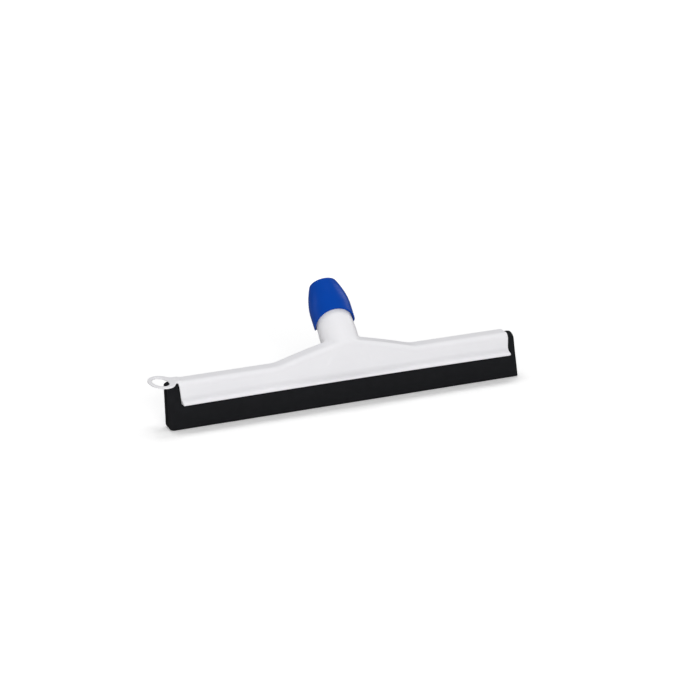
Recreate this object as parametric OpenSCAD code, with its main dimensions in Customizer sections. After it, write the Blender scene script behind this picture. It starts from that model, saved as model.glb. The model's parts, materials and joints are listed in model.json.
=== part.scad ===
// Floor squeegee head. A channel body holds a folded foam blade on a core strip,
// and a clamp nut with a split collet grips a handle in the tilted neck.
// Millimetres. X runs along the blade, Y to the back, Z up, with the floor at Z = 0.

/* [Foam blade] */
// Length of the blade
blade_len = 450; // [300:5:700]
// Thickness of the foam sheet
foam_t = 7.5; // [5:0.5:10]
// Width of the slot inside the fold
fold_gap = 5; // [4.5:0.25:7]
// How far each wiping lip swells out at the floor
lip_splay = 0.5; // [0:0.5:6]
// Width of the slot between the lips at the floor
lip_gap = 3; // [1:0.5:10]
// Height of foam below the body
blade_reach = 32; // [18:1:45]

/* [Core strip] */
// Length of the strip
core_len = 410; // [280:5:420]
// Height of the strip
core_h = 17; // [14:0.5:19]

/* [Body] */
// Length of the channel
body_len = 424; // [420:2:600]
// Height of the channel from lip to roof
body_h = 27.8; // [26:0.2:40]
// Wall of the channel
wall = 2.5; // [2:0.1:3.5]
// Radius of the roof's long edges
roof_edge = 7; // [6:0.25:12]
// How far the drip lip stands out
lip_out = 8.25; // [3.5:0.25:9]
// Thickness of the drip lip
lip_t = 4; // [2:0.25:4.5]
// Radius between lip and wall
lip_fillet = 2.5; // [1:0.25:3]

/* [Shoulders] */
// Half length of the shoulders along the roof
shoulder_span = 88; // [60:1:130]
// Height that the shoulders would reach in the middle
shoulder_rise = 21.2; // [10:0.2:24]

/* [Hanging eye] */
// Width of the eye along the blade
eye_w = 30.4; // [26:0.2:36]
// Length of the eye across the blade
eye_l = 42.6; // [38:0.2:50]
// Lean of the eye from square across the blade
eye_lean = 9; // [0:1:15]
// Width of its hole along the blade
eye_hole_w = 17; // [10:0.5:20]
// Length of its hole across the blade
eye_hole_l = 29.4; // [20:0.2:32]
// How far the hole lies outwards from the eye's centre
eye_hole_shift = 1.2; // [0:0.2:2]
// Distance from the body's end to the eye's centre
eye_reach = 17.8; // [14:0.2:24]
// Width of the root that joins it to the roof
eye_root_w = 14; // [8:0.5:15]
// Thickness of the eye
eye_t = 2.5; // [2:0.1:4]

/* [Neck] */
// Lean of the neck from upright
tilt = 45; // [35:1:55]
// Depth below the roof at which the neck's axis crosses the middle plane
axis_drop = 2.8; // [0:0.2:10]
// Diameter of the neck
neck_d = 45; // [42:0.5:48]
// How far the neck's flat front stands out from the wall
neck_face = 0.2; // [0.1:0.05:0.5]
// Distance along the axis to the neck's shoulder
neck_reach = 58; // [54:1:70]
// Diameter of the threaded spigot
spigot_d = 38; // [37:0.5:39]
// Length of its threaded stretch
spigot_thread_l = 19; // [17:0.5:22]
// Length of its plain end
spigot_plain_l = 7; // [5:0.5:10]
// Step from the threaded stretch to the plain end
spigot_step = 1; // [0.5:0.1:1.2]

/* [Handle] */
// Diameter of the handle
handle_d = 24; // [22:0.5:24.5]
// Floor under the handle
socket_floor = 3; // [2:0.25:6]

/* [Thread] */
// Pitch of the thread
pitch = 6; // [5.5:0.25:7]
// Height of the thread's ridge
ridge_h = 1.5; // [1:0.1:1.7]
// Width of the ridge at its root
ridge_root = 3; // [2:0.1:3.2]
// Width of the ridge at its crest
ridge_crest = 1.6; // [0.8:0.1:1.8]
// Turns of the neck's ridge
neck_turns = 2.5; // [1.5:0.25:2.5]
// Turns of the nut's ridge
nut_turns = 2; // [1:0.25:2]

/* [Collet] */
// Length of the tapered fingers
finger_l = 21; // [16:0.5:26]
// Wall of the fingers at their tips
finger_t = 1.6; // [1.2:0.1:2]
// How much the taper widens from tip to root
taper = 2.2; // [1:0.1:2.4]
// Thickness of the flange
flange_t = 3.4; // [2:0.2:5]
// Gap under the flange, left for tightening
grip_travel = 0.6; // [0.3:0.1:1.5]
// Number of fingers
fingers = 6; // [4:1:8]
// Width of the slots between them
slot_w = 2; // [1:0.25:3]

/* [Clamp nut] */
// Diameter of the nut at its rim
nut_rim_d = 51.2; // [47:0.2:54]
// Largest diameter of the nut
nut_belly_d = 51.5; // [49:0.5:56]
// Diameter at its top
nut_top_d = 33.4; // [32:0.2:38]
// Length of skirt below the neck's shoulder
nut_skirt = 12.5; // [8:0.5:16]
// Distance from the neck's shoulder to the belly
nut_belly_up = 6; // [4:0.5:16]
// Length of the guide for the handle above the collet
nut_guide_l = 13; // [10:0.5:22]
// Radius of the top edge
nut_edge = 2; // [0.5:0.25:2.5]
// Height of the arches in the rim
arch_h = 8.5; // [3:0.5:10]
// Width of the arches
arch_w = 42; // [36:0.2:45]
// Turn of the arches away from the front
nut_clock = -10; // [-90:5:90]

/* [Blade screws] */
// Shank diameter
screw_d = 4; // [3:0.25:4.5]
// Head diameter
screw_head_d = 8; // [6:0.25:8]
// Head height
screw_head_h = 2.6; // [2:0.1:3.5]
// Length under the head
screw_len = 16; // [14:0.5:18]
// Depth of the cross recess
screw_recess = 1.2; // [0.6:0.1:1.6]
// Distance of the inner pair from the middle
screw_in = 62; // [40:1:90]
// Distance of the outer pair from the middle
screw_out = 178; // [110:1:190]

/* [Clearances] */
// Foam in the channel
foam_fit = 0.2; // [0.1:0.05:0.4]
// Core strip in the fold
core_fit = 0.2; // [0.1:0.05:0.4]
// Screw in its holes
screw_fit = 0.1; // [0.05:0.05:0.3]
// Handle in the socket, on the radius
handle_fit = 0.25; // [0.1:0.05:0.5]
// Handle in the nut, on the radius
guide_fit = 1.2; // [0.6:0.1:1.5]
// Collet in the taper
collet_fit = 0.15; // [0.1:0.05:0.3]
// Nut over the neck, on the radius
skirt_fit = 0.35; // [0.25:0.05:0.6]
// Crest of a ridge to the opposite wall
thread_fit = 0.5; // [0.4:0.05:0.8]
// Nut over the collet's flange
flange_fit = 0.3; // [0.2:0.05:0.5]

/* [Hidden] */
$fn = 96;

over = 1;
far = 400;
plastic_white = "#eceaf0";
plastic_blue = "#0b4da8";
foam_black = "#1d1d1f";
plastic_grey = "#c9c9cc";
steel = "#b4b6b8";

foam_r = fold_gap / 2 + foam_t;
chan_r = foam_r + foam_fit;
body_r = chan_r + wall;
roof_flat = body_r - roof_edge;
roof_top = blade_reach + body_h;
roof_c = roof_top - body_r;
splay_z = blade_reach - 2;
core_t = fold_gap - 2 * core_fit;
core_low = roof_c + core_t / 2 - core_h;

shoulder_a = atan(shoulder_rise / shoulder_span);
shoulder_l = shoulder_span / cos(shoulder_a);
shoulder_lead = 2 * body_r;

axis_z = roof_top - axis_drop;
neck_r = neck_d / 2;
neck_low = (chan_r - neck_r * cos(tilt)) / sin(tilt);
floor_s = (roof_c + shoulder_rise - axis_z) * cos(tilt) + chan_r + socket_floor;
spigot_r = spigot_d / 2;
plain_s = neck_reach + spigot_thread_l;
spigot_s = plain_s + spigot_plain_l;
handle_r = handle_d / 2 + handle_fit;
finger_low = spigot_s - finger_l;
seat_low_r = handle_r + finger_t + collet_fit;
seat_top_r = seat_low_r + taper;
flange_low = spigot_s + grip_travel;
flange_top = flange_low + flange_t;
flange_r = spigot_r - spigot_step;

nut_low = neck_reach - nut_skirt;
nut_top = flange_top + flange_fit + nut_guide_l;
belly_s = neck_reach + nut_belly_up;
skirt_r = neck_r + skirt_fit;
nut_bore_r = spigot_r + ridge_h + thread_fit;
cap_r = flange_r + 2 * flange_fit;
guide_r = handle_d / 2 + guide_fit;
ridge_s = neck_reach + ridge_root / 2 + over;

screw_z = (blade_reach + lip_t + lip_fillet + roof_c) / 2;
screw_x = [-screw_out, -screw_in, screw_in, screw_out];
screw_tip = body_r - screw_len;

// Extrudes a (Y, Z) outline along X, about the middle
module along_x(len) {
    rotate([90, 0, 90])
        linear_extrude(len, center = true)
            children();
}

// Places a shape made about Z on the neck's axis
module on_axis() {
    translate([0, 0, axis_z])
        rotate([-tilt, 0, 0])
            children();
}

// Outline with straight sides and a round top, which may have a flat in its middle
module arch(r, centre, low, flat = 0) {
    for (side = [-1, 1])
        translate([side * flat, centre + flat])
            circle(r - flat);
    translate([-r, low])
        square([2 * r, centre + flat - low]);
    translate([-flat, low])
        square([2 * flat, centre + r - low]);
}

// Oval with straight long sides
module oval(w, l) {
    for (side = [-1, 1])
        translate([0, side * (l - w) / 2])
            circle(d = w);
    square([w, l - w], center = true);
}

// Helical ridge about Z. Its root goes a little into the wall that carries it.
module ridge(root_r, crest_r, turns) {
    steps = ceil(turns * 24);
    sink = sign(root_r - crest_r) * thread_fit;
    section = [[root_r + sink, -ridge_root / 2], [crest_r, -ridge_crest / 2],
               [crest_r, ridge_crest / 2], [root_r + sink, ridge_root / 2]];
    points = [for (i = [0:steps], p = section)
        let (a = 360 * turns * i / steps)
        [p.x * cos(a), p.x * sin(a), p.y + pitch * a / 360]];
    sides = [for (i = [0:steps - 1], j = [0:3])
        let (k = 4 * i, n = (j + 1) % 4)
        each [[k + j, k + 4 + j, k + n], [k + n, k + 4 + j, k + 4 + n]]];
    last = 4 * steps;
    ends = [[0, 1, 2], [0, 2, 3], [last, last + 2, last + 1], [last, last + 3, last + 2]];
    faces = concat(sides, ends);
    polyhedron(points, crest_r < root_r ? faces : [for (f = faces) [f[0], f[2], f[1]]]);
}

// Sloping bars that carry the roof up to the neck
module shoulders(r) {
    for (side = [-1, 1])
        translate([side * shoulder_span, 0, roof_top])
            rotate([0, side * shoulder_a, 0])
                translate([side * (shoulder_lead - shoulder_l) / 2, 0, -body_r])
                    along_x(shoulder_l + shoulder_lead)
                        arch(r, 0, -shoulder_rise - body_r, roof_flat);
}

// Keeps what lies above a height
module above(z) {
    difference() {
        children();
        translate([-far, -far, z - 2 * far])
            cube(2 * far);
    }
}

// Drip lip along the foot of one wall, as an outline at the back
module lip_outline() {
    nose = lip_t / 2;
    edge = body_r + lip_out;
    translate([edge - nose, blade_reach + nose])
        circle(nose);
    translate([chan_r, blade_reach])
        square([wall + lip_out - nose, lip_t]);
    difference() {
        translate([chan_r, blade_reach])
            square([wall + lip_fillet, lip_t + lip_fillet]);
        translate([body_r + lip_fillet, blade_reach + lip_t + lip_fillet])
            circle(lip_fillet);
    }
}

module channel_outline() {
    arch(body_r, roof_c, blade_reach, roof_flat);
    for (side = [0, 1])
        mirror([side, 0])
            lip_outline();
}

// Neck with a flat front, just proud of the front wall
module neck() {
    difference() {
        on_axis()
            translate([0, 0, neck_low])
                cylinder(neck_reach - neck_low, r = neck_r);
        translate([-far, -body_r - neck_face - far, 0])
            cube([2 * far, far, far]);
    }
}

module spigot() {
    on_axis() {
        translate([0, 0, neck_reach - over])
            cylinder(spigot_thread_l + over, r = spigot_r);
        translate([0, 0, plain_s - over])
            cylinder(spigot_plain_l + over, r = flange_r);
        translate([0, 0, ridge_s])
            ridge(spigot_r, spigot_r + ridge_h, neck_turns);
    }
}

// Stepped bore: handle guide, then the collet's taper
module socket_bore() {
    on_axis() {
        translate([0, 0, floor_s])
            cylinder(far, r = handle_r);
        translate([0, 0, finger_low - over])
            cylinder(over, r = seat_low_r);
        translate([0, 0, finger_low])
            cylinder(finger_l, r1 = seat_low_r, r2 = seat_top_r);
    }
}

// Puts an outline at the eye's place, level with the roof's underside
module at_eye(shift, low, high) {
    translate([-body_len / 2 - eye_reach - shift, 0, roof_c + chan_r + low])
        linear_extrude(high - low)
            rotate(eye_lean)
                children();
}

module eye_plate() {
    at_eye(0, 0, eye_t)
        oval(eye_w, eye_l);
    translate([-body_len / 2 - eye_reach, -eye_root_w / 2, roof_c + chan_r])
        cube([eye_reach + over, eye_root_w, eye_t]);
}

module eye_hole() {
    at_eye(eye_hole_shift, -over, eye_t + over)
        oval(eye_hole_w, eye_hole_l);
}

// Holes for the blade screws, from one Y to another
module screw_holes(y0, y1) {
    for (x = screw_x)
        translate([x, y0, screw_z])
            rotate([-90, 0, 0])
                cylinder(y1 - y0, d = screw_d + 2 * screw_fit);
}

module body() {
    color(plastic_white)
        difference() {
            union() {
                along_x(body_len)
                    channel_outline();
                above(roof_c)
                    shoulders(body_r);
                neck();
                spigot();
                eye_plate();
            }
            along_x(body_len + 2 * over)
                arch(chan_r, roof_c, blade_reach - over, roof_flat);
            above(roof_c)
                shoulders(chan_r);
            socket_bore();
            eye_hole();
            screw_holes(chan_r - over, body_r + over);
        }
}

module foam_blade() {
    half_gap = fold_gap / 2;
    color(foam_black)
        difference() {
            along_x(blade_len)
                difference() {
                    union() {
                        arch(foam_r, roof_c, splay_z, roof_flat);
                        polygon([[-foam_r, roof_c], [-foam_r, splay_z], [-foam_r - lip_splay, 0],
                                 [foam_r + lip_splay, 0], [foam_r, splay_z], [foam_r, roof_c]]);
                    }
                    translate([0, roof_c])
                        circle(half_gap);
                    polygon([[-half_gap, roof_c], [-half_gap, splay_z], [-lip_gap / 2, 0],
                             [-lip_gap / 2, -over], [lip_gap / 2, -over],
                             [lip_gap / 2, 0], [half_gap, splay_z], [half_gap, roof_c]]);
                }
            screw_holes(screw_tip - over, foam_r + over);
        }
}

module core_strip() {
    color(plastic_grey)
        difference() {
            along_x(core_len)
                arch(core_t / 2, roof_c, core_low);
            screw_holes(-core_t, core_t);
        }
}

// One pan head screw, driven in from the back
module blade_screw(i) {
    color(steel)
        translate([screw_x[i], body_r, screw_z])
            rotate([-90, 0, 0])
                difference() {
                    union() {
                        cylinder(screw_head_h / 2, d = screw_head_d);
                        translate([0, 0, screw_head_h / 2])
                            cylinder(screw_head_h / 2, d1 = screw_head_d, d2 = screw_head_d * 0.7);
                        translate([0, 0, screw_d - screw_len])
                            cylinder(screw_len - screw_d, d = screw_d);
                        translate([0, 0, -screw_len])
                            cylinder(screw_d, d1 = screw_d / 4, d2 = screw_d);
                    }
                    for (turn = [0, 90])
                        rotate([0, 0, turn])
                            translate([-screw_head_d / 4, -screw_d / 8, screw_head_h - screw_recess])
                                cube([screw_head_d / 2, screw_d / 4, screw_recess + over]);
                }
}

module blade_screw_1() blade_screw(0);
module blade_screw_2() blade_screw(1);
module blade_screw_3() blade_screw(2);
module blade_screw_4() blade_screw(3);

module collet() {
    color(plastic_grey)
        on_axis()
            difference() {
                rotate_extrude()
                    polygon([[handle_r, finger_low], [handle_r + finger_t, finger_low],
                             [handle_r + finger_t + taper, spigot_s],
                             [handle_r + finger_t + taper, flange_low],
                             [flange_r, flange_low], [flange_r, flange_top],
                             [handle_r, flange_top]]);
                for (i = [0:fingers - 1])
                    rotate([0, 0, 360 * i / fingers])
                        translate([0, -slot_w / 2, finger_low - over])
                            cube([flange_r, slot_w, finger_l - finger_t]);
            }
}

// Outside of the nut, from its rim over the belly to the rounded top edge
function nut_side() = let (
    rim_r = nut_rim_d / 2,
    belly_r = nut_belly_d / 2,
    top_r = nut_top_d / 2,
    edge_s = nut_top - nut_edge)
    concat(
        [for (i = [0:6]) let (u = i / 6)
            [belly_r - (belly_r - rim_r) * pow(1 - u, 2), nut_low + u * (belly_s - nut_low)]],
        [for (i = [1:8]) let (u = i / 8)
            [belly_r - (belly_r - top_r) * pow(u, 1.7), belly_s + u * (edge_s - belly_s)]],
        [for (a = [15:15:90])
            [top_r - nut_edge * (1 - cos(a)), edge_s + nut_edge * sin(a)]]);

// Inside of the nut, from the handle guide down to the skirt
function nut_inside() = let (
    cap_top = flange_top + flange_fit,
    step_s = neck_reach + grip_travel + skirt_fit) [
    [guide_r, nut_top], [guide_r, cap_top + 2 * wall], [guide_r + wall, cap_top],
    [cap_r, cap_top], [cap_r, spigot_s - over], [nut_bore_r, plain_s],
    [nut_bore_r, step_s], [skirt_r, step_s], [skirt_r, nut_low]];

// Arch seen from the front, with round shoulders
module arch_notch() {
    flat = arch_w / 2 - arch_h;
    for (side = [-1, 1])
        translate([side * flat, nut_low])
            circle(arch_h);
    translate([-flat, nut_low])
        square([2 * flat, arch_h]);
    translate([-arch_w / 2, nut_low - arch_h])
        square([arch_w, arch_h]);
}

module clamp_nut() {
    color(plastic_blue)
        on_axis() {
            rotate([0, 0, nut_clock])
                difference() {
                    rotate_extrude()
                        polygon(concat(nut_side(), nut_inside()));
                    rotate([90, 0, 0])
                        linear_extrude(2 * nut_belly_d, center = true)
                            arch_notch();
                }
            translate([0, 0, ridge_s + pitch / 2])
                ridge(nut_bore_r, nut_bore_r - ridge_h, nut_turns);
        }
}

body();
foam_blade();
core_strip();
blade_screw_1();
blade_screw_2();
blade_screw_3();
blade_screw_4();
collet();
clamp_nut();
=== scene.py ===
# %% [markdown]
# # A floor squeegee head
#
# The object is a head for wiping water off floors. A white moulded channel grips a
# folded blade of black moss rubber. A neck leans back from the channel, and a blue nut
# on it clamps a broom handle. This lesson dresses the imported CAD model, piece by piece.
# The CAD bodies are the skeleton: every piece made here rides on one of them, so that
# the joints still move it.

# %% Load the frame
import json
import math

import bpy
import numpy as np
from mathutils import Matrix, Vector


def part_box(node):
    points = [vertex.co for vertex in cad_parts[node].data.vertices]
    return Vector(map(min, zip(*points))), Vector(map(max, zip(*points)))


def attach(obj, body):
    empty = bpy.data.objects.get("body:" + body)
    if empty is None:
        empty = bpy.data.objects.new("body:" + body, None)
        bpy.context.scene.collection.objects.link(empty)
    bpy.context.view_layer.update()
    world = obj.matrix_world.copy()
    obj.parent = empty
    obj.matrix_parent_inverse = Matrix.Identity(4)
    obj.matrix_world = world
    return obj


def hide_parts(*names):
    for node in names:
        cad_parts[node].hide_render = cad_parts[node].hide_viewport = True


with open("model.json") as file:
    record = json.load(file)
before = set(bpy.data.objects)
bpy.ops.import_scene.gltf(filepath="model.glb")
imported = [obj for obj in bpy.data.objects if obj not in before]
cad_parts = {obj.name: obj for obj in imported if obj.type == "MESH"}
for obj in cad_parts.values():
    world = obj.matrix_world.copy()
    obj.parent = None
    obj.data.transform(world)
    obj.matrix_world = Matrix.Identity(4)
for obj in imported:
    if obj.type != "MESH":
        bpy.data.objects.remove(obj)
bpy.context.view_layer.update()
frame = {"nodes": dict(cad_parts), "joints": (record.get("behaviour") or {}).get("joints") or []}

import openvdb
from mathutils import Matrix, Vector

MM = 0.001

# %% [markdown]
# ## Where the sizes come from
#
# A piece that stands for a CAD node keeps that node's place. So the main sizes are read
# from the nodes' boxes and from the nut's joint, and only what a box can't tell, such as
# a wall or a fillet, is written down where it is needed. The shapes are worked out in
# millimetres, because walls and radii are easier to read that way.


# %% Read the sizes
def box_mm(node):
    low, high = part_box(node)
    return low / MM, high / MM


body_low, body_high = box_mm("body")
foam_low, foam_high = box_mm("foam_blade")
nut_joint = next(j for j in frame["joints"] if j["name"] == "nut_turn")
axis_dir = Vector(nut_joint["axis"])
axis_foot = Vector(nut_joint["pos_m"]) / MM
HALF_LEN = body_high.x
FOOT = body_low.z
print("channel:", round(2 * HALF_LEN, 1), "mm long, foot at", round(FOOT, 1))

# %% [markdown]
# ## Camera
#
# The head is shown as in a catalogue: through a long lens from a little above, with the
# blade running up to the right. A camera could be placed by hand, but then one change
# moves everything else in the picture. Here it is set by its angles about the object, its
# distance and its focal length in pixels, and the aim point says which pixel of a square
# frame the middle of the head falls on.

# %% Camera
FRAME_PX = 700
FOCAL_PX = 1828.9
SENSOR_MM = 36
CLIP_END = 50
AZIMUTH = math.radians(-21.11)
ELEVATION = math.radians(19.11)
ROLL = math.radians(1.32)
DISTANCE = 2.2150
AIM = Vector((0, 0, 0.0425))
AIM_PX = (345.1, 367.7)


def make_camera():
    ca, sa = math.cos(AZIMUTH), math.sin(AZIMUTH)
    ce, se = math.cos(ELEVATION), math.sin(ELEVATION)
    back = Vector((sa * ce, -ca * ce, se))
    level = Vector((ca, sa, 0))
    upright = Vector((-sa * se, ca * se, ce))
    right = level * math.cos(ROLL) - upright * math.sin(ROLL)
    up = level * math.sin(ROLL) + upright * math.cos(ROLL)
    per_px = DISTANCE / FOCAL_PX
    place = AIM + back * DISTANCE
    place -= right * (AIM_PX[0] - FRAME_PX / 2) * per_px
    place += up * (AIM_PX[1] - FRAME_PX / 2) * per_px
    data = bpy.data.cameras.new("camera")
    data.sensor_width = SENSOR_MM
    data.lens = FOCAL_PX * data.sensor_width / FRAME_PX
    data.clip_end = CLIP_END
    camera = bpy.data.objects.new("camera", data)
    turn = Matrix((right, up, back)).transposed().to_4x4()
    camera.matrix_world = Matrix.Translation(place) @ turn
    bpy.context.scene.collection.objects.link(camera)
    bpy.context.scene.camera = camera
    return camera


camera = make_camera()
print("camera at", [round(v, 3) for v in camera.matrix_world.translation])

# %% [markdown]
# ## Node helpers
#
# Materials and Geometry Nodes are both trees of nodes and links. Written out one by one,
# the links drown what a tree does. So a node is made together with what feeds it, be it a
# plain value or another node's output, and a row of Math nodes is written as one line.


# %% Node helpers
def feed(tree, value, socket):
    """Links an output to a socket, or sets the socket to a plain value."""
    if isinstance(value, bpy.types.NodeSocket):
        tree.links.new(value, socket)
    else:
        socket.default_value = value


def add_node(tree, kind, **values):
    """A node. Values named like its inputs feed them, and others set its own choices."""
    node = tree.nodes.new(kind)
    for name, value in values.items():
        socket = node.inputs.get(name.replace("_", " "))
        if socket is None:
            setattr(node, name, value)
        else:
            feed(tree, value, socket)
    return node


def chain(tree, value, *stages):
    """A row of Math nodes, each an operation and its second value. Differences stay in 0 to 1."""
    for operation, *others in stages:
        node = add_node(tree, "ShaderNodeMath", operation=operation)
        node.use_clamp = operation == "SUBTRACT"
        for socket, fed in zip(node.inputs, (value, *others)):
            feed(tree, fed, socket)
        value = node.outputs["Value"]
    return value


def shader_group(name, inputs, outputs):
    """An empty shader group with float sockets, and its two end nodes."""
    tree = bpy.data.node_groups.new(name, "ShaderNodeTree")
    tree.interface.new_socket("Vector", in_out="INPUT", socket_type="NodeSocketVector")
    for label, value in inputs.items():
        socket = tree.interface.new_socket(label, in_out="INPUT", socket_type="NodeSocketFloat")
        socket.default_value = value
    for label in outputs:
        tree.interface.new_socket(label, in_out="OUTPUT", socket_type="NodeSocketFloat")
    return tree, tree.nodes.new("NodeGroupInput"), tree.nodes.new("NodeGroupOutput")


print("helpers:", feed.__name__, add_node.__name__, chain.__name__, shader_group.__name__)

# %% [markdown]
# ## A shader group for moulded plastic
#
# Three pieces are moulded plastic, and all show the same two things up close: a fine
# spark-eroded grain from the mould, and soft patches where the melt cooled at different
# rates. Each material could have its own noise, but one node group keeps them alike: it
# puts out a height and a mask, and each plastic uses it with its own grain size. The group
# only puts out what varies, and fixed values are set on the shader itself.


# %% Moulded grain
def make_grain_group():
    inputs = {"Grain Scale": 2500.0, "Patch Scale": 30.0}
    tree, start, end = shader_group("moulded_grain", inputs, ("Height", "Patches"))
    place = start.outputs["Vector"]
    grain = add_node(tree, "ShaderNodeTexNoise", Vector=place,
                     Scale=start.outputs["Grain Scale"], Detail=2.0, Roughness=0.6)
    patches = add_node(tree, "ShaderNodeTexNoise", Vector=place,
                       Scale=start.outputs["Patch Scale"], Detail=3.0, Roughness=0.5)
    tree.links.new(grain.outputs["Fac"], end.inputs["Height"])
    tree.links.new(patches.outputs["Fac"], end.inputs["Patches"])
    return tree


grain_group = make_grain_group()
print("shader group:", grain_group.name)

# %% [markdown]
# ## A shader group for moss rubber
#
# Moss rubber is a foam of small closed cells. Where the knife cut through them, the
# surface is full of fine round pits. Real pits would take millions of faces, so they are
# a height made by a Voronoi texture, whose distance is lowest in the middle of each cell.


# %% Foam cells
def make_cell_group():
    inputs = {"Cell Scale": 900.0, "Patch Scale": 60.0}
    tree, start, end = shader_group("foam_cells", inputs, ("Height", "Patches"))
    place = start.outputs["Vector"]
    cells = add_node(tree, "ShaderNodeTexVoronoi", Vector=place,
                     Scale=start.outputs["Cell Scale"], Randomness=1.0)
    patches = add_node(tree, "ShaderNodeTexNoise", Vector=place,
                       Scale=start.outputs["Patch Scale"], Detail=4.0, Roughness=0.6)
    tree.links.new(cells.outputs["Distance"], end.inputs["Height"])
    tree.links.new(patches.outputs["Fac"], end.inputs["Patches"])
    return tree


cell_group = make_cell_group()
print("shader group:", cell_group.name)

# %% [markdown]
# ## The finishes
#
# One plain colour and one roughness would do from far away, but look like a computer
# picture up close. So every finish is built the same way: a group gives a mask and a
# height, the mask moves the colour and the roughness between two near values, and the
# height goes through a Bump node. The two values stay close, because the real head is new
# and clean.


# %% Finishes
def finish_material(name, group, scales, colours, roughness, bump, **fixed):
    """A Principled material whose colour and roughness vary between two values."""
    material = bpy.data.materials.new(name)
    material.use_nodes = True
    tree = material.node_tree
    shader = tree.nodes["Principled BSDF"]
    place = add_node(tree, "ShaderNodeTexCoord")
    pattern = add_node(tree, "ShaderNodeGroup", node_tree=group)
    for label, value in {"Vector": place.outputs["Object"], **scales}.items():
        feed(tree, value, pattern.inputs[label])
    patches = pattern.outputs["Patches"]
    tint = add_node(tree, "ShaderNodeMix", data_type="RGBA", Factor=patches)
    for socket, value in zip([s for s in tint.inputs if s.type == "RGBA"], colours):
        socket.default_value = (*value, 1)
    colour = next(s for s in tint.outputs if s.type == "RGBA")
    spread = add_node(tree, "ShaderNodeMapRange", Value=patches,
                      To_Min=roughness[0], To_Max=roughness[1])
    relief = add_node(tree, "ShaderNodeBump", Height=pattern.outputs["Height"],
                      Strength=bump[0], Distance=bump[1])
    tree.links.new(colour, shader.inputs["Base Color"])
    tree.links.new(spread.outputs["Result"], shader.inputs["Roughness"])
    tree.links.new(relief.outputs["Normal"], shader.inputs["Normal"])
    for label, value in fixed.items():
        shader.inputs[label.replace("_", " ")].default_value = value
    return material


white_plastic = finish_material(
    "white_plastic", grain_group, {"Grain Scale": 2200.0, "Patch Scale": 25.0},
    colours=((0.80, 0.795, 0.82), (0.84, 0.835, 0.855)),
    roughness=(0.36, 0.46), bump=(0.06, 0.0002))
blue_plastic = finish_material(
    "blue_plastic", grain_group, {"Grain Scale": 2600.0, "Patch Scale": 60.0},
    colours=((0.001, 0.050, 0.34), (0.001, 0.055, 0.37)),
    roughness=(0.30, 0.38), bump=(0.015, 0.0002), Specular_IOR_Level=0.1)
grey_plastic = finish_material(
    "grey_plastic", grain_group, {"Grain Scale": 2000.0, "Patch Scale": 60.0},
    colours=((0.50, 0.50, 0.52), (0.56, 0.56, 0.58)),
    roughness=(0.42, 0.52), bump=(0.06, 0.0002))
moss_rubber = finish_material(
    "moss_rubber", cell_group, {"Cell Scale": 1100.0, "Patch Scale": 90.0},
    colours=((0.0078, 0.0082, 0.0096), (0.0145, 0.0150, 0.0170)),
    roughness=(0.78, 0.92), bump=(0.25, 0.0003), Specular_IOR_Level=0.2)
zinc_steel = finish_material(
    "zinc_steel", grain_group, {"Grain Scale": 3000.0, "Patch Scale": 400.0},
    colours=((0.58, 0.58, 0.59), (0.66, 0.66, 0.66)),
    roughness=(0.26, 0.42), bump=(0.05, 0.0001), Metallic=1.0)
finishes = (white_plastic, blue_plastic, grey_plastic, moss_rubber, zinc_steel)
print("finishes:", [finish.name for finish in finishes])

# %% [markdown]
# ## Shapes as distance fields
#
# The body is one moulding: its roof, shoulders and neck run into each other in soft
# fillets, which loose solids and bevels can't give cleanly. A distance field can. It is
# a formula that is negative inside the plastic and positive outside, and a soft minimum
# of two such formulas joins two shapes with a fillet.


# %% Field formulas
def soft_min(a, b, k):
    """The smaller of two distances, with a fillet about k wide."""
    h = np.clip(0.5 + 0.5 * (b - a) / k, 0, 1)
    return b + (a - b) * h - k * h * (1 - h)


def soft_max(a, b, k):
    return -soft_min(-a, -b, k)


def oval(u, v, a, b):
    """Distance from an ellipse of half axes a and b, close to true near its line."""
    k0 = np.sqrt((u / a) ** 2 + (v / b) ** 2 + 1e-6)
    k1 = np.sqrt((u / a ** 2) ** 2 + (v / b ** 2) ** 2 + 1e-10)
    return k0 * (k0 - 1) / k1


def steps(*stops, end):
    """Grid lines from pairs of a start and a spacing, up to an end."""
    lines = []
    for (start, gap), after in zip(stops, [*[stop[0] for stop in stops[1:]], end]):
        count = max(1, round((after - start) / gap))
        lines.append(np.linspace(start, after, count, endpoint=False))
    return np.concatenate([*lines, [end]])


print("a 4 mm fillet fills its corner by", -soft_min(0.0, 0.0, 4.0), "mm")

# %% [markdown]
# ## From a field to a mesh
#
# The field is sampled on a grid with finer steps where the shape is small, OpenVDB finds
# the surface where it is zero, and Decimate thins what is flat. The mesh could take its
# normals from its faces, but the field's slope gives exact ones, so that the shading is
# as smooth as the formula.

# %% Mesh from a field
FAR_VALUE = 5.0
SLOPE_REACH = 0.05


def settle(piece):
    """Turns a piece's modifiers into a plain mesh."""
    graph = bpy.context.evaluated_depsgraph_get()
    mesh = bpy.data.meshes.new_from_object(piece.evaluated_get(graph))
    piece.modifiers.clear()
    piece.data = mesh
    mesh.name = piece.name
    return mesh


def field_normals(field, points):
    slopes = []
    for shift in np.eye(3) * SLOPE_REACH:
        ahead = field(*(points + shift).T)
        behind = field(*(points - shift).T)
        slopes.append(ahead - behind)
    normals = np.stack(slopes, axis=1)
    return normals / np.maximum(np.linalg.norm(normals, axis=1, keepdims=True), 1e-9)


def mesh_volume(mesh):
    mesh.calc_loop_triangles()
    corners = np.array([[mesh.vertices[v].co for v in t.vertices] for t in mesh.loop_triangles])
    return np.einsum("ij,ij->i", corners[:, 0], np.cross(corners[:, 1], corners[:, 2])).sum() / 6


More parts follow.
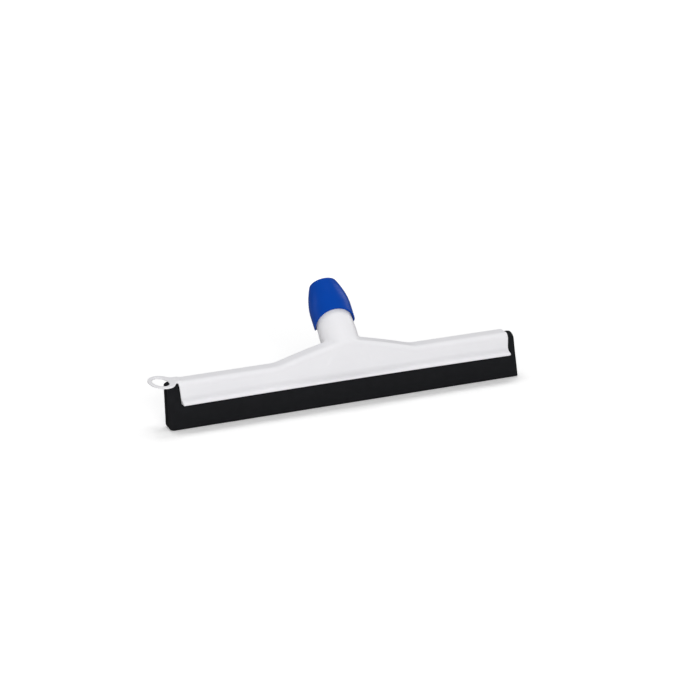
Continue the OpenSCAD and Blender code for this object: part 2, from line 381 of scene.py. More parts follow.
def mesh_from_field(name, field, lines, triangles, place=Matrix.Identity(4)):
    """A mesh of the field's surface in millimetres, turned into place and made metric."""
    xs, ys, zs = lines
    values = field(xs[:, None, None], ys[None, :, None], zs[None, None, :])
    grid = openvdb.FloatGrid(FAR_VALUE)
    grid.copyFromArray(np.ascontiguousarray(values, dtype=np.float32))
    spots, quads = grid.convertToQuads(0.0)
    spots = np.stack([np.interp(spots[:, i], np.arange(len(line)), line)
                      for i, line in enumerate(lines)], axis=1)
    mesh = bpy.data.meshes.new(name)
    mesh.from_pydata(spots.tolist(), [], quads.tolist())
    piece = bpy.data.objects.new(name, mesh)
    bpy.context.scene.collection.objects.link(piece)
    thin = piece.modifiers.new("thin", "DECIMATE")
    thin.ratio = min(1.0, triangles / (2 * len(quads)))
    thinned = settle(piece)
    normals = field_normals(field, np.array([v.co for v in thinned.vertices]))
    if mesh_volume(thinned) < 0:
        thinned.flip_normals()
    thinned.shade_smooth()
    thinned.transform(Matrix.Scale(MM, 4) @ place)
    turned = normals @ np.array(place.to_3x3()).T
    thinned.normals_split_custom_set_from_vertices(turned.tolist())
    print(name, "has", len(thinned.polygons), "faces")
    return piece


def dress(piece, material, body, slot, *nodes):
    """Gives a finished piece its material and body, and hides its CAD nodes. The slot is not used.
    """
    piece.data.materials.clear()
    piece.data.materials.append(material)
    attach(piece, body)
    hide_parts(*nodes)


print("normals are measured over", 2 * SLOPE_REACH, "mm")

# %% [markdown]
# ## The neck's directions
#
# The neck leans back at the angle of the nut's joint. Its shapes are round about its own
# axis, so they are easiest to write in a frame of their own: s runs up the axis from its
# foot, and t runs across it. The turn that puts a mesh from that frame in its place is
# kept as a matrix, for the pieces that sit on the neck.

# %% Neck directions
TILT = math.atan2(axis_dir.y, axis_dir.z)
SIN, COS = math.sin(TILT), math.cos(TILT)
on_neck = Matrix.Translation(axis_foot) @ Matrix.Rotation(-TILT, 4, "X")


def neck_frame(y, z):
    """Height along the neck's axis, and the way across it, for a point off the X axis."""
    up = y * SIN + (z - axis_foot.z) * COS
    across = y * COS - (z - axis_foot.z) * SIN
    return up, across


print("the neck leans back by", round(math.degrees(TILT), 1), "degrees")

# %% [markdown]
# ## Screw thread
#
# Neck and nut have a coarse thread of their own. A ridge could be swept along a helix and
# joined with a Boolean, which is slow and often leaves splits. As a field it is one
# formula: the height is measured from the nearest lap of the helix, and the ridge is
# there where that is small.

# %% Screw thread
PITCH = 6.0
RIDGE = 1.5
FLANK = 0.7


def thread(x, y, s, root, crest, start, turns):
    """A helical ridge about the s axis. A crest inside its root makes a nut's thread."""
    r = np.hypot(x, y)
    turn = (np.arctan2(y, x) / (2 * math.pi)) % 1.0
    lead = (s - start) / PITCH - turn
    lap = np.clip(np.round(lead), 0, np.floor(turns - turn))
    off = np.abs(lead - lap) * PITCH
    out = (r - root) / (crest - root)
    side = off - RIDGE + FLANK * np.clip(out, 0, 1)
    cap = np.abs(r - root) - abs(crest - root)
    return np.maximum(side, cap)


print("thread of", PITCH, "mm pitch")

# %% [markdown]
# ## Channel
#
# The channel is open below and has straight walls, a flat roof with round edges and a
# drip lip along each foot. The shoulders could be a second shape on top, but then a seam
# shows. So the roof's height follows one line along the blade, level at the ends and
# rising to the neck, and roof and shoulders are a single formula. The lips slope down a
# little and sag towards the ends, as a long thin moulding does.

# %% Channel
WALL = 2.5
INNER_R = 10.2
OUTER_R = INNER_R + WALL
BODY_H = 27.8
ROOF = FOOT + BODY_H
ROOF_EDGE = 7.0
ROOF_FLAT = OUTER_R - ROOF_EDGE
SPAN = 88.0
RISE = 21.2
CREST = 4.0
RAMP_BEND = 1.2
RAMP_BLEND = 1.6
LIP_OUT = 8.3
LIP_Y = OUTER_R + LIP_OUT
NOSE = 1.8
LIP_FILLET = 5.0
LIP_SLOPE = 0.25
LIP_RAISE = 0.9
LIP_BOW = 1.0
LEFT_SLANT = 2.4
RIGHT_END = HALF_LEN + 1.0
EDGE = 0.8


def roof_line(x):
    ramp = RISE * (1 - (np.hypot(x, CREST) / SPAN) ** RAMP_BEND)
    return ROOF + soft_max(ramp, 0 * ramp, RAMP_BLEND)


def channel_section(x, y, z, r):
    """Straight walls r from the middle, and a flat roof with round edges."""
    side = np.maximum(np.abs(y) - ROOF_FLAT, 0)
    return np.hypot(side, np.maximum(z - roof_line(x) + ROOF_EDGE, 0)) - (r - ROOF_FLAT)


def channel_shell(x, y, z):
    """The channel with its drip lips, cut off at both ends."""
    foot = FOOT + LIP_RAISE + LIP_BOW * (1 - (x / HALF_LEN) ** 2)
    wall = np.maximum(channel_section(x, y, z, OUTER_R), foot - z)
    reach = np.abs(y) - LIP_Y + NOSE
    nose = np.hypot(np.maximum(reach, 0), z - foot - NOSE + LIP_SLOPE * reach) - NOSE
    shell = soft_min(wall, nose, LIP_FILLET)
    left_end = -HALF_LEN + LEFT_SLANT * (ROOF - z) / (ROOF - FOOT)
    return soft_max(shell, np.maximum(left_end - x, x - RIGHT_END), EDGE)


print("roof at", round(ROOF, 1), "mm, rising to", round(float(roof_line(np.array(0.0))), 1))

# %% [markdown]
# ## Hanging eye
#
# A flat oval ring at the left end lets the head hang on a hook. It is moulded with the
# roof, a little skewed, and runs into it over a short root. A bent curve with a round
# section would be too thick for it: the ring is a plate. So its outline is an oval, its
# thickness cuts that to a plate, and a second oval is the hole.

# %% Hanging eye
EYE_REACH = 17.2
EYE_X = -HALF_LEN - EYE_REACH
EYE_Y = 0.8
EYE_HALF = (15.0, 22.8)
EYE_LEAN = math.radians(9)
EYE_T = 2.5
EYE_LIFT = 0.1
EYE_TOP = ROOF + EYE_LIFT
HOLE_HALF = (8.5, 16.0)
HOLE_SHIFT = 1.2
ROOT_X = 15.0
ROOT_HALF = 7.0
ROOT_SIDES = (-7.5, 11.0)
ROOT_FILLET = 5.0


def eye_field(x, y, z):
    u = (x - EYE_X) * math.cos(EYE_LEAN) + (y - EYE_Y) * math.sin(EYE_LEAN)
    v = (y - EYE_Y) * math.cos(EYE_LEAN) - (x - EYE_X) * math.sin(EYE_LEAN)
    across = np.maximum(ROOT_SIDES[0] - y, y - ROOT_SIDES[1])
    root = np.maximum(across, np.abs(x - EYE_X - ROOT_X) - ROOT_HALF)
    outline = soft_min(oval(u, v, *EYE_HALF), root, ROOT_FILLET)
    half = EYE_T / 2
    level = np.abs(z - (EYE_TOP - half)) - half
    plate = soft_max(outline, level, 2 * EDGE)
    return soft_max(plate, -oval(u + HOLE_SHIFT, v, *HOLE_HALF), 2 * EDGE)


print("eye of", 2 * EYE_HALF[0], "by", 2 * EYE_HALF[1], "mm at", round(EYE_X, 1))

# %% [markdown]
# ## Neck, spigot and insides
#
# The neck is a leaning cylinder, planed off just inside the front wall, so that no step
# shows there. Its spigot carries the thread for the nut. What is hollow is a field too,
# to be taken away from the rest: the channel for the blade, and the socket, which widens
# to a taper at its mouth, where the collet is squeezed.

# %% Neck and insides
NECK_R = 22.5
NECK_LOW = -8.0
NECK_TOP = 58.0
NECK_FLARE = 0.7
FLARE_TOP = 45.0
FLARE_RUN = 12.0
FRONT_PLANE = 10.5
FRONT_BLEND = 3.0
SPIGOT_R = 19.0
SPIGOT_TIP_R = 18.0
SPIGOT_MID = 69.0
SPIGOT_HALF = 15.0
THREAD_TOP = 77.0
NECK_THREAD = (60.5, 2.5)
SOCKET_R = 12.25
SOCKET_FLOOR = 21.2
BORE_S = (62.0, 62.01, 63.0, 84.0)
BORE_R = (SOCKET_R, 14.0, 14.0, 16.2)
NOWHERE = 200


def neck_field(x, y, s, t):
    flare = NECK_FLARE * np.clip((FLARE_TOP - s) / FLARE_RUN, 0, 1)
    neck = soft_max(np.hypot(x, t) - NECK_R - flare, s - NECK_TOP, EDGE)
    return soft_max(np.maximum(neck, NECK_LOW - s), -FRONT_PLANE - y, FRONT_BLEND)


def spigot_field(x, s, t):
    radius = np.where(s < THREAD_TOP, SPIGOT_R, SPIGOT_TIP_R)
    spigot = np.maximum(np.hypot(x, t) - radius, np.abs(s - SPIGOT_MID) - SPIGOT_HALF)
    return np.minimum(spigot, thread(x, t, s, SPIGOT_R, SPIGOT_R + RIDGE, *NECK_THREAD))


def inside_field(x, y, z, s, t):
    """The channel's hollow, which stops at the ends and spares the eye, and the socket."""
    hollow = channel_section(x, y, z, INNER_R) + NOWHERE * (np.abs(x) > RIGHT_END)
    bore = np.maximum(np.hypot(x, t) - np.interp(s, BORE_S, BORE_R), SOCKET_FLOOR - s)
    return np.minimum(hollow, bore)


print("socket of", 2 * SOCKET_R, "mm with its floor at", SOCKET_FLOOR)

# %% [markdown]
# ## Body
#
# Now the moulding is put together: channel and neck meet in a fillet that is wide in
# front and narrow behind, the eye joins the roof, and the insides are taken away. The
# grid is fine at the ends and about the neck, and coarse where the channel only runs on.

# %% Body
FILLET_FRONT = 6.0
FILLET_BACK = 2.5
FRONT_START = -2.0
FRONT_RUN = 10.0
EYE_FILLET = 1.5
FINE, MIDDLING, COARSE = 0.7, 1.2, 1.8


def body_field(x, y, z):
    s, t = neck_frame(y, z)
    front = np.clip((FRONT_START - y) / FRONT_RUN, 0, 1)
    fillet = FILLET_BACK + (FILLET_FRONT - FILLET_BACK) * front
    solid = soft_min(channel_shell(x, y, z), neck_field(x, y, s, t), fillet)
    solid = np.minimum(solid, spigot_field(x, s, t))
    solid = soft_min(solid, eye_field(x, y, z), EYE_FILLET)
    return np.maximum(solid, -inside_field(x, y, z, s, t))


body_lines = (
    steps((-252, FINE), (-204, COARSE), (-100, MIDDLING), (-40, FINE),
          (40, MIDDLING), (100, COARSE), (206, FINE), end=215),
    steps((-24, FINE), end=80),
    steps((28, FINE), end=130),
)
body = mesh_from_field("body_moulding", body_field, body_lines, triangles=180000)
dress(body, white_plastic, "head", "body_plastic", "body")

# %% [markdown]
# ## Clamp nut
#
# The nut is round about the neck's axis, so it could be spun from a profile, but the two
# arches in its rim and the thread inside would then need Booleans and bevels. As a field
# it needs only the radius and the height: a belly outside, and inside the skirt, the
# thread, the cap over the collet and the mouth for the handle. The arches are an oval cut
# through the rim from front to back, with a round edge.

# %% Clamp nut
NUT_LOW = 45.0
NUT_TOP = 101.9
SHOULDER_DROP = 2.0
NUT_SHOULDER = NUT_TOP - SHOULDER_DROP
FALL_END = 1.1
TOP_EDGE = 3.0
BELLY_S = 64.0
BELLY_R = 25.75
BELLY_BEND = 1.8
RIM_R = 25.6
MOUTH_R = 17.1
ARCH_HALF = (23.7, 9.0)
ARCH_S = 44.3
ARCH_TURN = math.radians(-11)
ARCH_EDGE = 1.4
NUT_BORE = 21.0
NUT_THREAD = (63.5, 2.0)
NUT_STEP = 0.45
INSIDE_S = (45, 58.9, 59, 77, 83, 88.2, 88.3, 93.3, 102)
INSIDE_R = (22.85, 22.85, NUT_BORE, NUT_BORE, 18.6, 18.6, 15.7, 13.2, 13.2)


def nut_outside(s):
    low = np.clip((BELLY_S - s) / (BELLY_S - NUT_LOW), 0, 1)
    high = np.clip((s - BELLY_S) / (NUT_SHOULDER - BELLY_S), 0, FALL_END)
    fall = (BELLY_R - MOUTH_R) * high ** BELLY_BEND
    return BELLY_R - (BELLY_R - RIM_R) * low ** 2 - fall


def nut_field(x, y, s):
    r = np.hypot(x, y)
    skin = soft_max(r - nut_outside(s), s - NUT_TOP, TOP_EDGE)
    skin = np.maximum(skin, NUT_LOW - s)
    wall = soft_max(skin, np.interp(s, INSIDE_S, INSIDE_R) - r, EDGE)
    side = np.abs(x * math.cos(ARCH_TURN) + y * math.sin(ARCH_TURN))
    wall = soft_max(wall, -oval(side, s - ARCH_S, *ARCH_HALF), ARCH_EDGE)
    return np.minimum(wall, thread(x, y, s, NUT_BORE, NUT_BORE - RIDGE, *NUT_THREAD))


nut_across = steps((-26, NUT_STEP), end=26)
nut_lines = (nut_across, nut_across, steps((44, NUT_STEP), end=103))
nut = mesh_from_field("clamp_nut_moulding", nut_field, nut_lines, triangles=110000,
                      place=on_neck)
dress(nut, blue_plastic, "nut", "nut_plastic", "clamp_nut")

# %% [markdown]
# ## Collet
#
# The collet is the split sleeve that the nut pushes into the taper. Its ring shows in
# the nut's mouth. The slots between its fingers could be cut by an array of boxes. In a
# field, the angle is folded to the nearest slot, and one cut makes them all.

# %% Collet
FINGERS = 6
SLOT = 2.0
SLOT_TOP = 81.4
TAPER_S = (63, 84)
TAPER_R = (13.8, 16.0)
SLEEVE_MID = 75.5
SLEEVE_HALF = 12.5
FLANGE_R = 18.0
FLANGE_MID = 86.4
FLANGE_HALF = 1.6
SLEEVE_EDGE = 0.5
FLANGE_EDGE = 0.3
SLOT_EDGE = 0.4
COLLET_STEP = 0.4


def collet_field(x, y, s):
    r = np.hypot(x, y)
    taper = np.interp(s, TAPER_S, TAPER_R)
    sleeve = soft_max(r - taper, np.abs(s - SLEEVE_MID) - SLEEVE_HALF, SLEEVE_EDGE)
    flange = soft_max(r - FLANGE_R, np.abs(s - FLANGE_MID) - FLANGE_HALF, FLANGE_EDGE)
    sleeve = soft_max(np.minimum(sleeve, flange), SOCKET_R - r, SLEEVE_EDGE)
    angle = np.arctan2(y, x)
    wedge = 2 * math.pi / FINGERS
    off = r * np.abs(np.sin(angle - wedge * np.round(angle / wedge)))
    slot = np.maximum(off - SLOT / 2, s - SLOT_TOP)
    return soft_max(sleeve, -slot, SLOT_EDGE)


collet_across = steps((-19, COLLET_STEP), end=19)
collet_lines = (collet_across, collet_across, steps((62, COLLET_STEP), end=89))
collet = mesh_from_field("collet_sleeve", collet_field, collet_lines, triangles=60000,
                         place=on_neck)
dress(collet, grey_plastic, "collet", "inner_plastic", "collet")

# %% [markdown]
# ## Geometry Nodes helpers
#
# The blade follows a rule and the screws repeat, so both are made with Geometry Nodes. A
# tree is a small program of its own with named inputs. The helpers make such a tree, set
# a modifier's inputs by their sockets' identifiers before it first runs, and write the
# vector steps that both trees use.


# %% Geometry Nodes helpers
def geometry_tree(name, inputs):
    tree = bpy.data.node_groups.new(name, "GeometryNodeTree")
    tree.interface.new_socket("Geometry", in_out="INPUT", socket_type="NodeSocketGeometry")
    for label, value in inputs.items():
        kind = "NodeSocketMaterial" if isinstance(value, bpy.types.Material) else "NodeSocketFloat"
        tree.interface.new_socket(label, in_out="INPUT", socket_type=kind)
    tree.interface.new_socket("Geometry", in_out="OUTPUT", socket_type="NodeSocketGeometry")
    return tree, tree.nodes.new("NodeGroupInput"), tree.nodes.new("NodeGroupOutput")


def finish_tree(tree, start, end, geometry):
    """Ends a tree in real geometry with its material."""
    real = add_node(tree, "GeometryNodeRealizeInstances", Geometry=geometry)
    paint = add_node(tree, "GeometryNodeSetMaterial", Geometry=real.outputs["Geometry"],
                     Material=start.outputs["Finish"])
    tree.links.new(paint.outputs["Geometry"], end.inputs["Geometry"])
    return tree


def run_tree(piece, tree, inputs):
    modifier = piece.modifiers.new(tree.name, "NODES")
    modifier.node_group = tree
    for item in tree.interface.items_tree:
        if item.item_type == "SOCKET" and item.in_out == "INPUT" and item.name in inputs:
            modifier[item.identifier] = inputs[item.name]


def along_x(tree, length):
    way = add_node(tree, "ShaderNodeCombineXYZ", X=length)
    return way.outputs["Vector"]


def vector_math(tree, operation, first, second):
    node = add_node(tree, "ShaderNodeVectorMath", operation=operation)
    feed(tree, first, node.inputs[0])
    feed(tree, second, node.inputs["Scale"] if operation == "SCALE" else node.inputs[1])
    return node.outputs["Vector"]


def spot_parts(tree):
    """The X, Y and Z of every point."""
    spot = add_node(tree, "GeometryNodeInputPosition")
    return add_node(tree, "ShaderNodeSeparateXYZ", Vector=spot.outputs["Position"]).outputs


def host(name, points, edges, faces):
    """A mesh object that a tree starts from."""
    mesh = bpy.data.meshes.new(name)
    mesh.from_pydata(points, edges, faces)
    piece = bpy.data.objects.new(name, mesh)
    bpy.context.scene.collection.objects.link(piece)
    return piece


print("tree helpers:", geometry_tree.__name__, finish_tree.__name__, run_tree.__name__)

# %% [markdown]
# ## The blade's section
#
# The blade is one strip of moss rubber, folded over the core strip. The channel squeezes
# it, and below the channel it swells to its full thickness, so that the two wiping lips
# come closer together. A box with a slot would miss all that, so its section is drawn
# once, as a closed line with a round fold and round corners at the lips.

# %% Foam section
FOLD_R = 10.0
FOLD_TOP = foam_high.z
FOLD_Z = FOLD_TOP - FOLD_R
FOLD_EDGE = 7.0
FOLD_LIFT = 1.0
GAP = 2.5
LIP_GAP = 1.0
SPLAY_Z = FOOT - 2.0
SWELL = 3.0
LIP_EDGE = foam_high.y
CORNER = 2.0
HEEL = 1.7
FOLD_POINTS = 14
SIDE_POINTS = 32
CORNER_POINTS = 6
SLOT_POINTS = 26
CROWN_POINTS = 8


def smooth_step(u):
    u = min(max(u, 0.0), 1.0)
    return u * u * (3 - 2 * u)


def outer_y(z):
    """Half width of the blade. It swells a little just below the channel."""
    return FOLD_R + (LIP_EDGE - FOLD_R) * smooth_step((SPLAY_Z - z) / SPLAY_Z * SWELL)


def inner_y(z):
    return GAP + (LIP_GAP - GAP) * smooth_step((SPLAY_Z - z) / SPLAY_Z)


def arc(y, z, r, start, stop, count):
    angles = np.radians(np.linspace(start, stop, count))
    return [(y + r * math.cos(a), z + r * math.sin(a)) for a in angles]


def foam_section():
    """The closed line: down the lip from the fold's top, up inside, and the same mirrored."""
    turns = np.radians(np.linspace(90, 0, FOLD_POINTS))
    spring = FOLD_TOP + FOLD_LIFT - FOLD_EDGE
    fold = [(FOLD_R * math.cos(a), spring + FOLD_EDGE * math.sin(a)) for a in turns]
    outside = [(outer_y(z), z) for z in np.linspace(spring, CORNER, SIDE_POINTS)][1:]
    toe = arc(LIP_EDGE - CORNER, CORNER, CORNER, 0, -90, CORNER_POINTS)[1:]
    heel = arc(LIP_GAP + HEEL, HEEL, HEEL, -90, -180, CORNER_POINTS)
    inside = [(inner_y(z), z) for z in np.linspace(HEEL, FOLD_Z - 1, SLOT_POINTS)][1:]
    crown = arc(0, FOLD_Z, GAP, 0, 90, CROWN_POINTS)
    half = fold + outside + toe + heel + inside + crown
    return half + [(-y, z) for y, z in reversed(half[1:-1])]


section = foam_section()
loop = [(i, (i + 1) % len(section)) for i in range(len(section))]
foam = host("foam_blade_strip", [(-y * MM, -z * MM, 0) for y, z in section], loop, [])
print("section of", len(section), "points")

# %% [markdown]
# ## What makes the foam look soft
#
# Moss rubber is cut from a soft slab, so a perfect sweep looks like hard plastic. A Bevel
# could round the cut ends, but it frays where the section's points lie close together.
# So the tree moves the points itself. It draws the end rings in, the left one most,
# rounds the left end's corner at the lips, and lets the right cut lean, longer at the
# lips than at the fold. Noise moves the rest by a fraction of a millimetre.

# %% Soft moves
END_SHARE = 0.999
RIGHT_SOFTNESS = 0.3
NOISE_SCALE = 26.0
SLANT_AT_LIPS = 0.46
SLANT_AT_FOLD = -0.54


def soften_ends(tree, start, half, geometry):
    """Draws the end rings in along their normals, the left one most."""
    share = chain(tree, spot_parts(tree)["X"], ("DIVIDE", half))
    at_end = chain(tree, share, ("ABSOLUTE",), ("GREATER_THAN", END_SHARE))
    side = add_node(tree, "ShaderNodeMapRange", Value=share, From_Min=-1.0,
                    To_Min=-1.0, To_Max=-RIGHT_SOFTNESS)
    depth = chain(tree, side.outputs["Result"], ("MULTIPLY", at_end),
                  ("MULTIPLY", start.outputs["Softness"]))
    normal = add_node(tree, "GeometryNodeInputNormal")
    sideways = vector_math(tree, "MULTIPLY", normal.outputs["Normal"], (0, 1, 1))
    inward = vector_math(tree, "SCALE", sideways, depth)
    move = add_node(tree, "GeometryNodeSetPosition", Geometry=geometry, Offset=inward)
    return move.outputs["Geometry"]


def slanted_cut(tree, start, half, parts):
    """A way along X that grows to the right end, out at the lips and back at the fold."""
    along = add_node(tree, "ShaderNodeMapRange", Value=parts["X"], From_Max=half)
    height = add_node(tree, "ShaderNodeMapRange", Value=parts["Z"],
                      From_Max=start.outputs["Height"],
                      To_Min=SLANT_AT_LIPS, To_Max=SLANT_AT_FOLD)
    lean = chain(tree, along.outputs["Result"], ("MULTIPLY", height.outputs["Result"]),
                 ("MULTIPLY", start.outputs["Slant"]))
    return along_x(tree, lean)


def round_corner(tree, start, half, parts):
    """A way along X that rounds the lips' corner at the left end as a quarter ellipse."""
    rise = chain(tree, parts["Z"], ("DIVIDE", start.outputs["Corner Rise"]))
    depth = chain(tree, 1.0, ("SUBTRACT", rise), ("POWER", 2.0))
    line = chain(tree, 1.0, ("SUBTRACT", depth), ("SQRT",))
    inset = chain(tree, 1.0, ("SUBTRACT", line), ("MULTIPLY", start.outputs["Corner Run"]))
    share = chain(tree, parts["X"], ("DIVIDE", half), ("MULTIPLY", -1.0), ("MAXIMUM", 0.0))
    return along_x(tree, chain(tree, inset, ("MULTIPLY", share)))


def unevenness(tree, start):
    noise = add_node(tree, "ShaderNodeTexNoise", Scale=NOISE_SCALE, Detail=2.0)
    centred = vector_math(tree, "SUBTRACT", noise.outputs["Color"], (0.5, 0.5, 0.5))
    return vector_math(tree, "SCALE", centred, start.outputs["Unevenness"])


print("the right end keeps", RIGHT_SOFTNESS, "of the left end's softness")

# %% [markdown]
# ## Foam blade
#
# The tree sweeps the section along a straight line, turns the faces outwards and makes
# the soft moves. Modelled by hand, every change of length or softness would mean starting
# again.

# %% Foam blade
foam_inputs = {
    "Length": (foam_high.x - foam_low.x) * MM,
    "Spacing": 3.0 * MM,
    "Unevenness": 0.35 * MM,
    "Slant": 6.5 * MM,
    "Softness": 2.1 * MM,
    "Corner Run": 2.6 * MM,
    "Corner Rise": 4.0 * MM,
    "Height": foam_high.z * MM,
    "Finish": moss_rubber,
}


def strip_tree():
    tree, start, end = geometry_tree("swept_strip", foam_inputs)
    half = chain(tree, start.outputs["Length"], ("MULTIPLY", 0.5))
    minus = chain(tree, start.outputs["Length"], ("MULTIPLY", -0.5))
    line = add_node(tree, "GeometryNodeCurvePrimitiveLine",
                    Start=along_x(tree, minus), End=along_x(tree, half))
    even = add_node(tree, "GeometryNodeResampleCurve", mode="LENGTH",
                    Curve=line.outputs["Curve"], Length=start.outputs["Spacing"])
    upright = add_node(tree, "GeometryNodeSetCurveNormal", mode="Z_UP",
                       Curve=even.outputs["Curve"])
    outline = add_node(tree, "GeometryNodeMeshToCurve", Mesh=start.outputs["Geometry"])
    sweep = add_node(tree, "GeometryNodeCurveToMesh", Curve=upright.outputs["Curve"],
                     Profile_Curve=outline.outputs["Curve"], Fill_Caps=True)
    outward = add_node(tree, "GeometryNodeFlipFaces", Mesh=sweep.outputs["Mesh"])
    soft = soften_ends(tree, start, half, outward.outputs["Mesh"])
    parts = spot_parts(tree)
    way = vector_math(tree, "ADD", slanted_cut(tree, start, half, parts), unevenness(tree, start))
    way = vector_math(tree, "ADD", way, round_corner(tree, start, half, parts))
    move = add_node(tree, "GeometryNodeSetPosition", Geometry=soft, Offset=way)
    return finish_tree(tree, start, end, move.outputs["Geometry"])


run_tree(foam, strip_tree(), foam_inputs)
settle(foam).shade_smooth()
dress(foam, moss_rubber, "head", "foam", "foam_blade")
print("foam:", len(foam.data.polygons), "faces", [round(v / MM, 1) for v in foam.dimensions])

# %% [markdown]
# ## Blade screws
#
# Four pan head screws hold the blade from the back. A screw is round about its axis, so
# it is turned as on a lathe: a profile of radius and depth is spun. A Screw modifier would
# do it too. Written out, the profile's two ends close in a single point without merging,
# and the tree starts from a finished mesh.

# %% Screw profile
screw_low, screw_high = box_mm("blade_screw_1")
SCREW_Z = (screw_low.z + screw_high.z) / 2
SCREW_TOP = screw_high.y
SCREW_LEN = screw_high.y - screw_low.y
HEAD_H = 2.6
SHANK_R = 2.0
TIP_LEN = 4.0
SCREW_SIDES = 40
SCREW_PROFILE = (
    (0.0, 0.0), (1.6, 0.08), (2.8, 0.42), (3.6, 1.05), (3.95, 1.7), (4.0, 2.3),
    (3.9, HEAD_H), (SHANK_R, HEAD_H), (SHANK_R, SCREW_LEN - TIP_LEN),
    (0.5, SCREW_LEN), (0.0, SCREW_LEN))


def lathe(profile, count):
    """Points and faces of a profile of (radius, depth) spun about the Y axis."""
    points = []
    rings = []
    for r, depth in profile:
        turns = count if r > 0 else 1
        rings.append([len(points) + i for i in range(turns)])
        for i in range(turns):
            a = 2 * math.pi * i / turns
            spot = (r * math.cos(a), SCREW_TOP - depth, SCREW_Z + r * math.sin(a))
            points.append([v * MM for v in spot])
    faces = []
    for above, below in zip(rings, rings[1:]):
        for i in range(count):
            ring = [above[i % len(above)], above[(i + 1) % len(above)],
                    below[(i + 1) % len(below)], below[i % len(below)]]
            faces.append(list(dict.fromkeys(ring)))
    return points, faces


screw_points, screw_faces = lathe(SCREW_PROFILE, SCREW_SIDES)
screws = host("blade_screw_set", screw_points, [], screw_faces)
print("screw of", len(screw_faces), "faces")

# %% [markdown]
# ## The set of screws
#
# The screws sit in two pairs about the middle. Four copies could be placed by hand, but
# the tree is a rule for the set: change a pair's distance, and both of its screws move.
# It cuts the cross recess with a Mesh Boolean and puts the screw at the four places.

# %% Screw set
RECESS_LEN = 4.4
RECESS_DEEP = 2.6
RECESS_W = 1.0
SHARP = math.radians(35)
screw_inputs = {
    "Inner Pair": abs(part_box("blade_screw_2")[0].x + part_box("blade_screw_2")[1].x) / 2,
    "Outer Pair": abs(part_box("blade_screw_1")[0].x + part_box("blade_screw_1")[1].x) / 2,
    "Finish": zinc_steel,
}


def pair_points(tree, start, label):
    """Two points at plus and minus one input along X."""
    first = chain(tree, start.outputs[label], ("MULTIPLY", -1.0))
    stride = chain(tree, start.outputs[label], ("MULTIPLY", 2.0))
    line = add_node(tree, "GeometryNodeMeshLine", Count=2,
                    Start_Location=along_x(tree, first), Offset=along_x(tree, stride))
    return line.outputs["Mesh"]


def screw_tree():
    tree, start, end = geometry_tree("screw_set", screw_inputs)
    cut = add_node(tree, "GeometryNodeMeshBoolean", operation="DIFFERENCE")
    tree.links.new(start.outputs["Geometry"], cut.inputs["Mesh 1"])
    for size in ((RECESS_LEN, RECESS_DEEP, RECESS_W), (RECESS_W, RECESS_DEEP, RECESS_LEN)):
        bar = add_node(tree, "GeometryNodeMeshCube", Size=[v * MM for v in size])
        seat = add_node(tree, "GeometryNodeTransform", Geometry=bar.outputs["Mesh"],
                        Translation=(0, SCREW_TOP * MM, SCREW_Z * MM))
        tree.links.new(seat.outputs["Geometry"], cut.inputs["Mesh 2"])
    places = add_node(tree, "GeometryNodeJoinGeometry")
    for label in ("Inner Pair", "Outer Pair"):
        tree.links.new(pair_points(tree, start, label), places.inputs["Geometry"])
    copies = add_node(tree, "GeometryNodeInstanceOnPoints",
                      Points=places.outputs["Geometry"], Instance=cut.outputs["Mesh"])
    return finish_tree(tree, start, end, copies.outputs["Instances"])


run_tree(screws, screw_tree(), screw_inputs)
settle(screws).shade_smooth()
screws.data.set_sharp_from_angle(angle=SHARP)
dress(screws, zinc_steel, "head", "screw_steel", *[f"blade_screw_{i}" for i in (1, 2, 3, 4)])
print("screws:", len(screws.data.polygons), "faces", [round(v / MM, 1) for v in screws.dimensions])

# %% [markdown]
# ## Core strip
#
# The strip inside the fold is only seen from the ends. It could be made anew, but its CAD
# shape is right, so the node stays and only takes the grey finish.

# %% Core strip
core = frame["nodes"]["core_strip"]
core.data.materials.clear()
core.data.materials.append(grey_plastic)
print("core strip keeps", len(core.data.polygons), "CAD faces")

# %% [markdown]
# ## Floor
#
# A catalogue picture has no visible room: white paper runs under and behind the object,
# and only a soft shadow ties it to the ground. More light would bleach the shadow and the
# object too. So the floor is pale paper that adds a little glow for camera rays only, more
# of it far off, and it comes out white while the shadow stays. In gloss the paper is dim,
# which keeps the nut's blue deep.

# %% Floor
FLOOR_SIZE = 14.0
PAPER = 0.95
PAPER_IN_GLOSS = 0.2
GLOW_NEAR = 0.16
GLOW_FAR = 0.75
FADE_START = 0.35
FADE_END = 1.2


def make_floor():
    half = FLOOR_SIZE / 2
    corners = [(-half, -half, 0), (half, -half, 0), (half, half, 0), (-half, half, 0)]
    floor = host("floor", corners, [], [(0, 1, 2, 3)])
    material = bpy.data.materials.new("paper")
    material.use_nodes = True
    tree = material.node_tree
    rays = add_node(tree, "ShaderNodeLightPath")
    paper = add_node(tree, "ShaderNodeMapRange", Value=rays.outputs["Is Glossy Ray"],
                     To_Min=PAPER, To_Max=PAPER_IN_GLOSS)
    place = add_node(tree, "ShaderNodeTexCoord")
    reach = add_node(tree, "ShaderNodeVectorMath", operation="LENGTH")
    tree.links.new(place.outputs["Object"], reach.inputs[0])
    fade = add_node(tree, "ShaderNodeMapRange", Value=reach.outputs["Value"],
                    From_Min=FADE_START, From_Max=FADE_END, To_Min=GLOW_NEAR, To_Max=GLOW_FAR)
    looks = {
        "Base Color": paper.outputs["Result"],
        "Roughness": 1.0,
        "Specular IOR Level": 0.0,
        "Emission Color": (1, 1, 1, 1),
        "Emission Strength": chain(tree, rays.outputs["Is Camera Ray"],
                                   ("MULTIPLY", fade.outputs["Result"])),
    }
    for label, value in looks.items():
        feed(tree, value, tree.nodes["Principled BSDF"].inputs[label])
    floor.data.materials.append(material)
    return floor


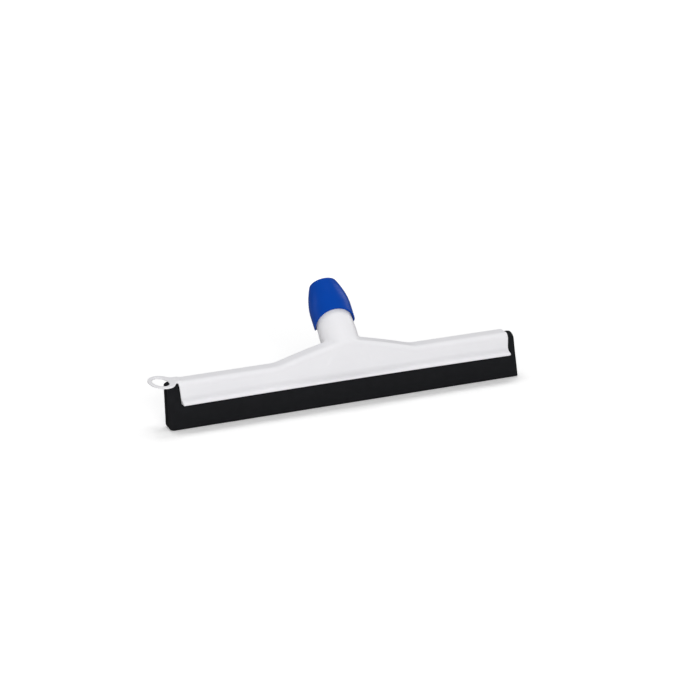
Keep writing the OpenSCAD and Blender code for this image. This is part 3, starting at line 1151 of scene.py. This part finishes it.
floor = make_floor()
print("floor of", round(floor.dimensions.x, 1), "m")

# %% [markdown]
# ## Light
#
# The front wall is the brightest large surface of the head and the roof falls off above
# it. A bare sun would draw hard edges, so the lights are soft boxes. The main one is large
# and stands in front, a little to the left and rather low. A second one hangs almost
# overhead, slightly behind: it lifts the roof and lays the short soft shadow in front of
# the blade. Two tall strips at the sides light nothing and only show in gloss, where they
# draw a soft streak along each flank of the nut. The world is white where it is seen,
# dimmer where it lights, and nearly dark in gloss, or the blue would turn grey.

# %% Light
WORLD_LIGHT = 0.46
WORLD_IN_GLOSS = 0.05
LIGHT_AIM = Vector((0, 0, 0.06))


def make_world():
    world = bpy.data.worlds.new("studio")
    bpy.context.scene.world = world
    world.use_nodes = True
    tree = world.node_tree
    rays = add_node(tree, "ShaderNodeLightPath")
    shine = add_node(tree, "ShaderNodeMapRange", Value=rays.outputs["Is Glossy Ray"],
                     To_Min=WORLD_LIGHT, To_Max=WORLD_IN_GLOSS)
    level = add_node(tree, "ShaderNodeMapRange", Value=rays.outputs["Is Camera Ray"],
                     To_Min=shine.outputs["Result"], To_Max=1.0)
    backdrop = tree.nodes["Background"]
    backdrop.inputs["Color"].default_value = (1, 1, 1, 1)
    tree.links.new(level.outputs["Result"], backdrop.inputs["Strength"])


def softbox(name, turn, rise, distance, size, watts, gloss):
    """A light at a turn from the front and a rise, in degrees, seen in gloss or only as fill."""
    turn, rise = math.radians(turn), math.radians(rise)
    ahead = Vector((math.sin(turn), -math.cos(turn), 0))
    way = ahead * math.cos(rise) + Vector((0, 0, math.sin(rise)))
    data = bpy.data.lights.new(name, "AREA")
    data.shape = "RECTANGLE"
    data.size, data.size_y = size
    data.energy = watts
    lamp = bpy.data.objects.new(name, data)
    lamp.location = LIGHT_AIM + way * distance
    lamp.rotation_mode = "QUATERNION"
    lamp.rotation_quaternion = (-way).to_track_quat("-Z", "Y")
    lamp.visible_glossy = gloss
    lamp.visible_diffuse = not gloss
    bpy.context.scene.collection.objects.link(lamp)


make_world()
softbox("front_softbox", -12, 24, distance=2.6, size=(1.6, 0.9), watts=28, gloss=False)
softbox("back_softbox", 172, 78, distance=2.2, size=(1.2, 0.8), watts=18, gloss=False)
softbox("left_strip", -122, 17, distance=1.6, size=(0.3, 0.8), watts=1.4, gloss=True)
softbox("right_strip", 115, 27, distance=1.6, size=(0.5, 0.9), watts=3.8, gloss=True)
bpy.context.scene.view_settings.view_transform = "Standard"
